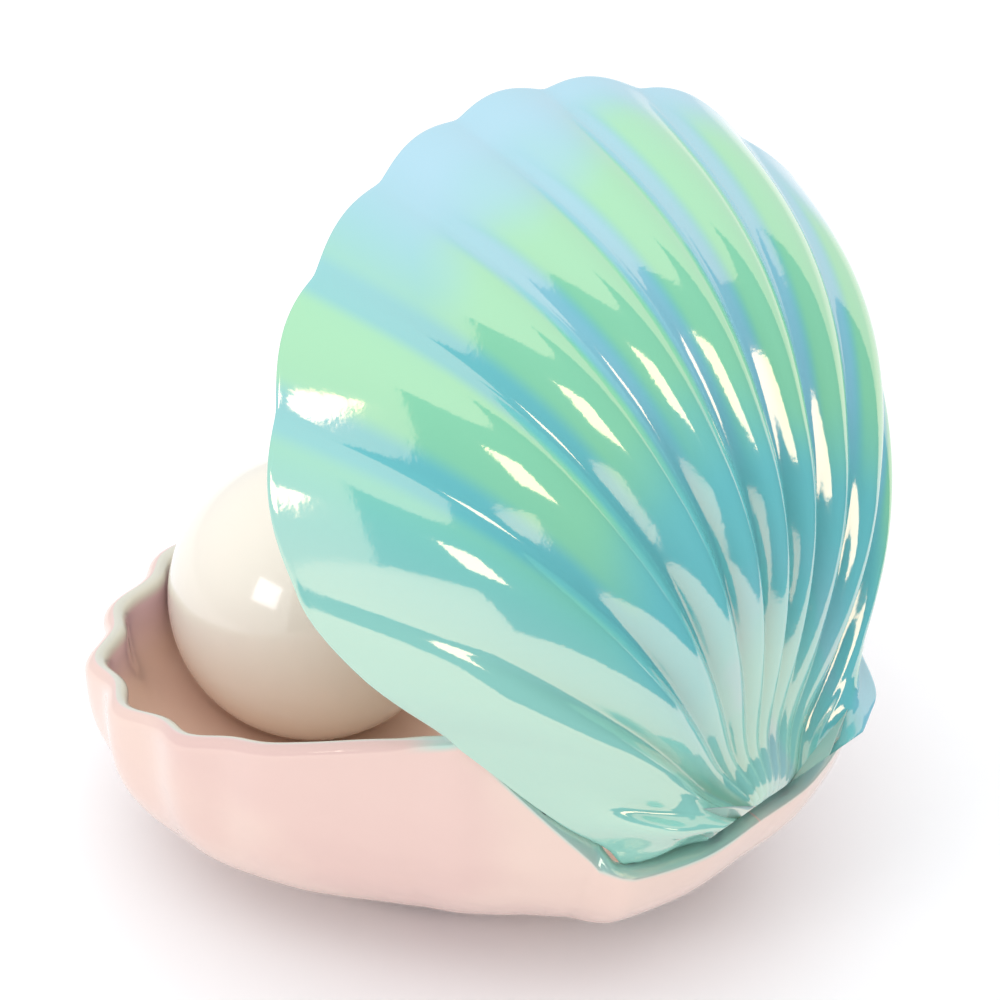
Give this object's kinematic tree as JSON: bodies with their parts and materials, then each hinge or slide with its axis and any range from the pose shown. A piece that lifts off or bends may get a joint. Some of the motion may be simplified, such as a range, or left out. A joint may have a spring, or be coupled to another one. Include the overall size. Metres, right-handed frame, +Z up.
{
  "type": "bubbling ornament",
  "caption": "Open glazed clam shell with a ribbed fan-shaped upper valve, a round bowl-shaped lower valve and a large pearl; rising air lifts the hinged upper valve.",
  "frame": {"origin": "middle of the bounding box, at the underside of the feet", "axes": "+Z up; the shell opens toward -Y; the hinge line runs along X at the back (+Y)"},
  "size_m": [0.196, 0.2012, 0.2103],
  "materials": {
    "turquoise_glaze": "glossy lustre glaze, turquoise with green and pale blue shifts",
    "blush_glaze": "glossy lustre glaze, peach pink with a pale greenish white lip",
    "pearl_glaze": "glossy ivory",
    "rubber": "matt",
    "silicone": "satin",
    "brass": "turned",
    "steel": "satin stainless",
    "air_stone": "coarse sintered grain",
    "clear_plastic": "smooth moulded",
    "cover_plastic": "fine texture",
    "bush_plastic": "smooth"
  },
  "bodies": {
    "lower_shell": {"lower_valve": "blush_glaze", "pearl": "pearl_glaze", "pearl_seat": "rubber", "stem_grommet": "rubber", "inlet_grommet": "rubber", "rubber_foot_1": "rubber", "rubber_foot_2": "rubber", "rubber_foot_3": "rubber", "rubber_foot_4": "rubber", "seat_pad_left": "rubber", "seat_pad_right": "rubber", "pearl_insert": "brass", "cover_insert_1": "brass", "cover_insert_2": "brass", "cover_insert_3": "brass", "pearl_screw": "steel", "pearl_washer": "steel", "hinge_rod": "steel", "rod_clip_left": "steel", "rod_clip_right": "steel", "lower_hinge_bracket": "steel", "lower_bracket_screw_left": "steel", "lower_bracket_screw_right": "steel", "cover_screw_1": "steel", "cover_screw_2": "steel", "cover_screw_3": "steel", "air_stone": "air_stone", "stone_stem": "clear_plastic", "air_inlet_spigot": "clear_plastic", "inner_air_tube": "silicone", "base_cover": "cover_plastic"},
    "upper_shell": {"upper_valve": "turquoise_glaze", "upper_hinge_bracket": "steel", "hinge_bush_left": "bush_plastic", "hinge_bush_right": "bush_plastic", "upper_bracket_screw_left": "steel", "upper_bracket_screw_right": "steel"}
  },
  "joints": [
    {"name": "upper_valve_lift", "type": "hinge", "parent": "lower_shell", "child": "upper_shell", "pos_m": [0, 0.07686, 0.052], "axis": [-1, 0, 0], "range_deg": [0, 10]}
  ]
}
